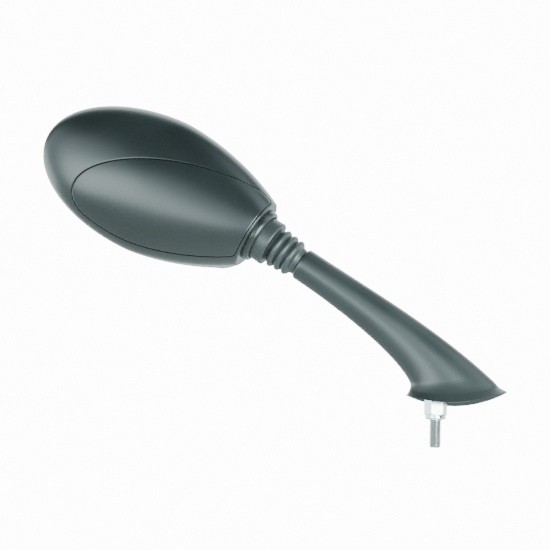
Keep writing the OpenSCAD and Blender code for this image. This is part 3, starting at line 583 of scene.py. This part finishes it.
def make_boot():
    """Boot in two parts that meet at a ring of its cuff. The head's part runs from the collar to the
    ring by the ball's liner, and the neck's part goes on from the ring to the small end over the arm's
    spigot; neither is attached to a body."""
    outer, wave, rest = boot_rings()
    line = np.concatenate([outer, wave, rest])
    meet = np.argmax(line[:, 1] >= BOOT_MEET)
    inner = len(line) - 1 - np.argmax(line[::-1, 1] >= BOOT_MEET)

    def crossing(k):
        """The profile's point at the meeting ring, between points k and k + 1."""
        f = (BOOT_MEET - line[k, 1]) / (line[k + 1, 1] - line[k, 1])
        return line[k:k + 1] * (1 - f) + line[k + 1:k + 2] * f

    out_cut, in_cut = crossing(meet - 1), crossing(inner)
    upper = np.concatenate([line[:meet], out_cut, in_cut, line[inner + 1:]])
    lower = np.concatenate([out_cut, line[meet:inner + 1], in_cut])
    cuff = shell("boot_cuff", from_neck(lathe(dense(upper), 120)), closed=True, crease=50)
    ribs = shell("boot_ribs", from_neck(lathe(dense(lower), 120)), closed=True, crease=50)
    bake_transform(cuff)
    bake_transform(ribs)
    return cuff, ribs


def make_collar():
    """Trim ring: a rounded band that leans in towards the boot."""
    bore, high, step = 15.9, 4.4, 2.45
    # Each corner's radius, its height over the head's flat end, and how far from it its rounding starts.
    corners = [(bore + 0.6, 0, 0), (18.9, 0, 0.25), (18.8, 2.2, 1.0), (18.4, 3.5, 0.8), (17.7, high, 0.7),
               (bore + 0.4, high, 0.25), (bore, 4.0, 0.2), (bore, step, 0.1), (bore + 0.6, step, 0.1),
               (bore + 0.6, 0, 0)]
    line = [(radius, FACE_S + height) for radius, height, _ in corners]
    rings = lathe(line, 160, [rounding for _, _, rounding in corners])[:-1]
    return shell("collar_band", from_neck(rings), closed=True)


# Finishes. Inputs 2, 3 and 4 of a noise node are its scale, detail and roughness.
def new_group(name, inputs, outputs):
    """A shader node group with named sockets: its tree, its input node and its output node."""
    tree = bpy.data.node_groups.new(name, "ShaderNodeTree")
    for label, kind, value in inputs:
        tree.interface.new_socket(label, in_out="INPUT", socket_type=kind).default_value = value
    for label, kind in outputs:
        tree.interface.new_socket(label, in_out="OUTPUT", socket_type=kind)
    return tree, tree.nodes.new("NodeGroupInput"), tree.nodes.new("NodeGroupOutput")


def add(tree, kind, links=(), **values):
    """A node joined by (socket, source) pairs. A value called _2 goes to input 2, any other is a property
    of the node. The node's outputs come back."""
    node = tree.nodes.new("ShaderNode" + kind)
    for key, value in values.items():
        if key[0] == "_":
            node.inputs[int(key[1:])].default_value = value
        else:
            setattr(node, key, value)
    for socket, source in links:
        tree.links.new(source, node.inputs[socket])
    return node.outputs


def ramp(tree, source, low, high, out_low=0.0, out_high=1.0):
    """The source's span from low to high eased onto another span."""
    return add(tree, "MapRange", [(0, source)], interpolation_type="SMOOTHSTEP",
               _1=low, _2=high, _3=out_low, _4=out_high)[0]


def math(tree, how, a, b):
    """One step of arithmetic on two sources or numbers."""
    node = tree.nodes.new("ShaderNodeMath")
    node.operation = how
    for k, v in enumerate((a, b)):
        if isinstance(v, (int, float)):
            node.inputs[k].default_value = v
        else:
            tree.links.new(v, node.inputs[k])
    return node.outputs[0]


def blended(tree, share, first, second):
    """The first colour, with a share of the second."""
    return add(tree, "Mix", [(0, share), (6, first), (7, second)], data_type="RGBA")[2]


def moulded_group():
    """Moulded plastic or rubber: a fine grain, slow patches, hairline scuffs, and dust on what faces up."""
    tree, given, out = new_group("moulded_skin", [
        ("Colour", "NodeSocketColor", (0, 0, 0, 1)), ("Worn", "NodeSocketColor", (0.1, 0.1, 0.1, 1)),
        ("Roughness", "NodeSocketFloat", 0.4), ("Grain", "NodeSocketFloat", 2400.0),
        ("Wear", "NodeSocketFloat", 0.3), ("Dust", "NodeSocketFloat", 0.2)],
        [("Colour", "NodeSocketColor"), ("Roughness", "NodeSocketFloat"), ("Height", "NodeSocketFloat")])
    use = given.outputs
    where = add(tree, "TexCoord")[3]
    grain = add(tree, "TexNoise", [("Vector", where), ("Scale", use["Grain"])], _3=2.0, _4=0.6)[0]
    patch = add(tree, "TexNoise", [("Vector", where)], _2=30.0, _3=1.0, _4=0.5)[0]
    # Scuffs are noise drawn out along one slanting direction, and only show in some patches.
    drawn = add(tree, "Mapping", [(0, where)], _2=(0.4, 0.2, 0.9), _3=(60, 900, 2600))[0]
    line = ramp(tree, add(tree, "TexNoise", [("Vector", drawn)], _2=1.0, _3=3.0, _4=0.6)[0], 0.66, 0.74)
    line = math(tree, "MULTIPLY", line, ramp(tree, patch, 0.45, 0.62))
    up = add(tree, "SeparateXYZ", [(0, add(tree, "NewGeometry")[1])])[2]
    dust = math(tree, "MULTIPLY", ramp(tree, up, 0.1, 0.9), ramp(tree, patch, 0.35, 0.65))
    worn = math(tree, "MULTIPLY", line, use["Wear"])
    dust = math(tree, "MULTIPLY", dust, use["Dust"])
    mask = math(tree, "ADD", math(tree, "ADD", worn, dust), math(tree, "MULTIPLY", patch, 0.06))
    tree.links.new(blended(tree, mask, use["Colour"], use["Worn"]), out.inputs[0])
    # Patches change the roughness a little, and scuffs and dust make it rougher.
    uneven = math(tree, "MULTIPLY", math(tree, "SUBTRACT", patch, 0.5), 0.06)
    rough = math(tree, "ADD", use["Roughness"], uneven)
    rough = math(tree, "ADD", rough, math(tree, "MULTIPLY", math(tree, "ADD", worn, dust), 0.3))
    tree.links.new(rough, out.inputs[1])
    tree.links.new(grain, out.inputs[2])
    return tree


# Painted shade in the thread's roots: it fades out between these distances from the Z axis, in metres.
ROOT_R, ROOT_SHADE_COLOUR = (0.0033, 0.0037), (0.02, 0.022, 0.022, 1)


def turned_group():
    """Turned or drawn metal: fine rings round the Z axis, cloudy plating, small dull spots, and painted
    shade in the roots of a thread on that axis, as strong as its input asks."""
    tree, given, out = new_group("turned_metal", [
        ("Colour", "NodeSocketColor", (0.7, 0.7, 0.7, 1)), ("Dull", "NodeSocketColor", (0.4, 0.4, 0.4, 1)),
        ("Roughness", "NodeSocketFloat", 0.2), ("Rings", "NodeSocketFloat", 9000.0),
        ("Spots", "NodeSocketFloat", 0.3), ("Grime", "NodeSocketFloat", 0.0)],
        [("Colour", "NodeSocketColor"), ("Roughness", "NodeSocketFloat"), ("Height", "NodeSocketFloat")])
    use = given.outputs
    where = add(tree, "TexCoord")[3]
    # Rings are noise with a fine scale along Z and a coarse one across.
    spread = add(tree, "CombineXYZ", [(2, use["Rings"])], _0=160.0, _1=160.0)[0]
    squeezed = add(tree, "VectorMath", [(0, where), (1, spread)], operation="MULTIPLY")[0]
    rings = add(tree, "TexNoise", [("Vector", squeezed)], _2=1.0, _3=2.0, _4=0.7)[0]
    cloud = add(tree, "TexNoise", [("Vector", where)], _2=210.0, _3=5.0, _4=0.6)[0]
    spot = math(tree, "MULTIPLY", ramp(tree, cloud, 0.52, 0.7), use["Spots"])
    plated = blended(tree, spot, use["Colour"], use["Dull"])
    across = add(tree, "VectorMath", [(0, where)], operation="MULTIPLY", _1=(1, 1, 0))[0]
    radius = add(tree, "VectorMath", [(0, across)], operation="LENGTH")[1]
    # Painted shade: near the axis, in the roots of the thread, the colour is darkened.
    root = math(tree, "MULTIPLY", ramp(tree, radius, *ROOT_R, 1.0, 0.0), use["Grime"])
    root_shaded = add(tree, "Mix", [(0, root), (6, plated)], data_type="RGBA", _7=ROOT_SHADE_COLOUR)[2]
    tree.links.new(root_shaded, out.inputs[0])
    change = math(tree, "ADD", math(tree, "MULTIPLY", rings, 0.8), math(tree, "MULTIPLY", spot, 1.5))
    rough = math(tree, "MULTIPLY", use["Roughness"], math(tree, "ADD", change, 0.6))
    tree.links.new(rough, out.inputs[1])
    tree.links.new(rings, out.inputs[2])
    return tree


MOULDED, TURNED = moulded_group(), turned_group()


def material(name, group, bump=0.1, reach=0.0001, metallic=0.0, **values):
    """A Principled material fed by one of the groups, with the group's values. Bump is the strength of
    its relief and reach the relief's height in metres."""
    made = bpy.data.materials.new(name)
    made.use_nodes = True
    tree = made.node_tree
    base = tree.nodes["Principled BSDF"]
    base.inputs["Metallic"].default_value = metallic
    skin = tree.nodes.new("ShaderNodeGroup")
    skin.node_tree = group
    for key, value in values.items():
        skin.inputs[key].default_value = (*value, 1) if isinstance(value, tuple) else value
    tree.links.new(skin.outputs["Colour"], base.inputs["Base Color"])
    tree.links.new(skin.outputs["Roughness"], base.inputs["Roughness"])
    lift = add(tree, "Bump", [("Height", skin.outputs["Height"])], _0=bump, _1=reach)
    tree.links.new(lift[0], base.inputs["Normal"])
    made.diffuse_color = (*values["Colour"], 1)
    return made


satin = material("satin_black_plastic", MOULDED, bump=0.04, Roughness=0.28, Grain=2600.0, Wear=0.08,
                 Dust=0.06, Colour=(0.006, 0.008, 0.008), Worn=(0.05, 0.06, 0.06))
arm_satin = material("arm_satin_black", MOULDED, bump=0.05, Roughness=0.35, Grain=2600.0, Wear=0.08,
                     Dust=0.08, Colour=(0.008, 0.0105, 0.0105), Worn=(0.05, 0.06, 0.06))
rubber = material("boot_rubber", MOULDED, bump=0.1, Roughness=0.42, Grain=1500.0, Wear=0.1,
                  Dust=0.12, Colour=(0.014, 0.017, 0.017), Worn=(0.06, 0.065, 0.065))
inner_plastic = material("inner_plastic", MOULDED, bump=0.15, Roughness=0.5, Grain=2000.0, Wear=0.2,
                         Dust=0.05, Colour=(0.045, 0.047, 0.05), Worn=(0.14, 0.14, 0.14))
liner_plastic = material("liner_plastic", MOULDED, bump=0.05, Roughness=0.35, Grain=2000.0, Wear=0.4,
                         Dust=0.05, Colour=(0.72, 0.71, 0.65), Worn=(0.5, 0.48, 0.42))
foam = material("pad_foam", MOULDED, bump=0.8, reach=0.0006, Roughness=0.9, Grain=900.0, Wear=0.0,
                Dust=0.1, Colour=(0.03, 0.03, 0.03), Worn=(0.1, 0.1, 0.1))
plating = {"bump": 0.12, "metallic": 1.0, "Colour": (0.55, 0.55, 0.55), "Dull": (0.3, 0.3, 0.3),
           "Roughness": 0.2, "Rings": 7000.0, "Spots": 0.3}
zinc = material("bright_zinc", TURNED, **plating)
# The stud's thread has painted shade in its roots.
thread_zinc = material("threaded_zinc", TURNED, Grime=0.5, **plating)
steel = material("bare_steel", TURNED, bump=0.12, metallic=1.0, Roughness=0.3, Rings=5000.0, Spots=0.5,
                 Colour=(0.5, 0.5, 0.51), Dull=(0.28, 0.27, 0.26))
brass = material("turned_brass", TURNED, bump=0.15, metallic=1.0, Roughness=0.28, Rings=6000.0, Spots=0.5,
                 Colour=(0.72, 0.5, 0.22), Dull=(0.4, 0.27, 0.12))
silver = material("silvered_glass", TURNED, bump=0.0, metallic=1.0, Roughness=0.03, Rings=160.0, Spots=0.15,
                  Colour=(0.86, 0.89, 0.9), Dull=(0.8, 0.84, 0.85))

# New pieces: the node that each stands for, its maker, its body, its slot and its finish.
dressed = [("arm", make_arm, "arm", "black_plastic", arm_satin),
           ("housing", make_housing, "head", "black_plastic", satin),
           ("back_cover", make_cover, "head", "black_plastic", satin),
           ("mirror_glass", make_glass, "head", "mirror", silver),
           ("collar_ring", make_collar, "head", "black_plastic", satin),
           ("mount_stud", make_stud, "arm", "plated_steel", thread_zinc)]
for node, make, body, slot, finish in dressed:
    piece = make()
    piece.data.materials.clear()
    piece.data.materials.append(finish)
    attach(piece, body)
    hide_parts(node)
for part in make_boot():
    part.data.materials.append(rubber)
    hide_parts("bellows")

# CAD nodes that stay, with their finishes.
kept = {zinc: ["spring_washer", "clamp_screw_1", "clamp_screw_2", "clamp_screw_3", "cover_screw_1",
               "cover_screw_2"],
        steel: ["neck_rod", "pivot_ball", "ball_nut", "disc_spring_1", "disc_spring_2", "disc_spring_3"],
        brass: ["foot_insert"], liner_plastic: ["cup_liner"], foam: ["glass_pad"],
        inner_plastic: ["ball_socket", "socket_clamp", "glass_carrier"]}
for finish, names in kept.items():
    for name in names:
        nodes[name].data.materials.clear()
        nodes[name].data.materials.append(finish)


def toward(azimuth, elevation):
    """Unit vector of a direction: azimuth 0 is the side that the back of the head faces."""
    a, e = np.radians([azimuth, elevation])
    return np.array([np.sin(a) * np.cos(e), -np.cos(a) * np.cos(e), np.sin(e)])


# Camera, from the photograph: the frame's origin stands at ORIGIN_PX, and a pixel there is PIXEL metres.
AZIMUTH, ELEVATION, ROLL, DISTANCE, PIXEL = 8.0, -7.5, 1.7, 1.19, 0.00065
PICTURE_PX, ORIGIN_PX = 550, (435.4, 419.2)
a, e, r = np.radians([AZIMUTH, ELEVATION, ROLL])
back = toward(AZIMUTH, ELEVATION)
right = np.array([np.cos(a), np.sin(a), 0])
up = np.array([-np.sin(a) * np.sin(e), np.cos(a) * np.sin(e), np.cos(e)])
across, over = right * np.cos(r) + up * np.sin(r), up * np.cos(r) - right * np.sin(r)
eye = (back * DISTANCE - across * PIXEL * (ORIGIN_PX[0] - PICTURE_PX / 2)
       - over * PIXEL * (PICTURE_PX / 2 - ORIGIN_PX[1]))
lens = bpy.data.cameras.new("camera")
lens.sensor_width, lens.clip_end = 36.0, 100.0
lens.lens = DISTANCE / (PIXEL * PICTURE_PX) * lens.sensor_width
camera = bpy.data.objects.new("camera", lens)
camera.matrix_world = Matrix(np.vstack([np.column_stack([across, over, back, eye]), [0, 0, 0, 1]]).tolist())
bpy.context.scene.collection.objects.link(camera)
bpy.context.scene.camera = camera

# Pale floor, far below, since the mirror is held up by its stud.
FLOOR_R, FLOOR_Z, FLOOR_SIDES, FLOOR_COLOUR, FLOOR_ROUGHNESS = 3.0, -0.6, 128, (0.82, 0.82, 0.81, 1), 0.9
turn = np.linspace(0, 2 * np.pi, FLOOR_SIDES, endpoint=False)
disc = np.stack([FLOOR_R * np.cos(turn), FLOOR_R * np.sin(turn), np.full(FLOOR_SIDES, FLOOR_Z)], -1)
ground = bpy.data.meshes.new("floor")
ground.from_pydata(disc.tolist(), [], [list(range(FLOOR_SIDES))])
floor = bpy.data.objects.new("floor", ground)
bpy.context.scene.collection.objects.link(floor)
pale = bpy.data.materials.new("pale_floor")
pale.use_nodes = True
pale.node_tree.nodes["Principled BSDF"].inputs["Base Color"].default_value = FLOOR_COLOUR
pale.node_tree.nodes["Principled BSDF"].inputs["Roughness"].default_value = FLOOR_ROUGHNESS
ground.materials.append(pale)

# Soft studio light: broad lobes of light by direction, while the camera sees a plain white surround.
LIGHT_TINT, BASE_LIGHT, SEEN_WHITE = (0.82, 1.0, 1.01), 0.12, 17.0
world = bpy.data.worlds.new("studio")
bpy.context.scene.world = world
world.use_nodes = True
tree = world.node_tree
tree.nodes.clear()
look = add(tree, "TexCoord")[0]


def lobe(azimuth, elevation, inner, outer, strength):
    """Light from one side: full inside the inner angle, none past the outer one."""
    dot = add(tree, "VectorMath", [(0, look)], operation="DOT_PRODUCT", _1=toward(azimuth, elevation))[1]
    return ramp(tree, dot, float(np.cos(np.radians(outer))), float(np.cos(np.radians(inner))), 0.0, strength)


# Azimuth, elevation, full inside, none past, strength.
soft_boxes = [(-36, -16, 16, 37, 8.5), (-40, 12, 6, 30, 3.0), (-4, -3, 4, 28, 2.8), (82, -30, 5, 36, 6.5),
              (82, 38, 5, 34, 3.0), (-78, 10, 10, 42, 2.4), (-120, -15, 10, 42, 5.0), (130, 0, 10, 48, 3.3),
              (188, -35, 8, 42, 4.0), (188, 42, 8, 42, 4.5)]
total = lobe(*soft_boxes[0])
for box in soft_boxes[1:]:
    total = math(tree, "ADD", total, lobe(*box))
total = math(tree, "ADD", total, BASE_LIGHT)
lit = tree.nodes.new("ShaderNodeBackground")
lit.inputs[0].default_value = (*LIGHT_TINT, 1)
tree.links.new(total, lit.inputs[1])
plain = tree.nodes.new("ShaderNodeBackground")
plain.inputs[1].default_value = SEEN_WHITE
both = tree.nodes.new("ShaderNodeMixShader")
tree.links.new(add(tree, "LightPath")[0], both.inputs[0])
tree.links.new(lit.outputs[0], both.inputs[1])
tree.links.new(plain.outputs[0], both.inputs[2])
tree.links.new(both.outputs[0], tree.nodes.new("ShaderNodeOutputWorld").inputs[0])

# A soft box close to the arm, on its right, which the camera doesn't see.
LAMP_SIZE, LAMP_POWER, LAMP_AT, LAMP_AIM = 0.45, 15.0, (0.27, -0.45, 0.03), (0.0, 0.0, 0.04)
lamp = bpy.data.lights.new("arm_soft_box", "AREA")
lamp.size, lamp.energy, lamp.color = LAMP_SIZE, LAMP_POWER, LIGHT_TINT
holder = bpy.data.objects.new("arm_soft_box", lamp)
holder.location = LAMP_AT
holder.rotation_euler = (Vector(LAMP_AIM) - holder.location).to_track_quat("-Z", "Y").to_euler()
holder.visible_camera = False
bpy.context.scene.collection.objects.link(holder)
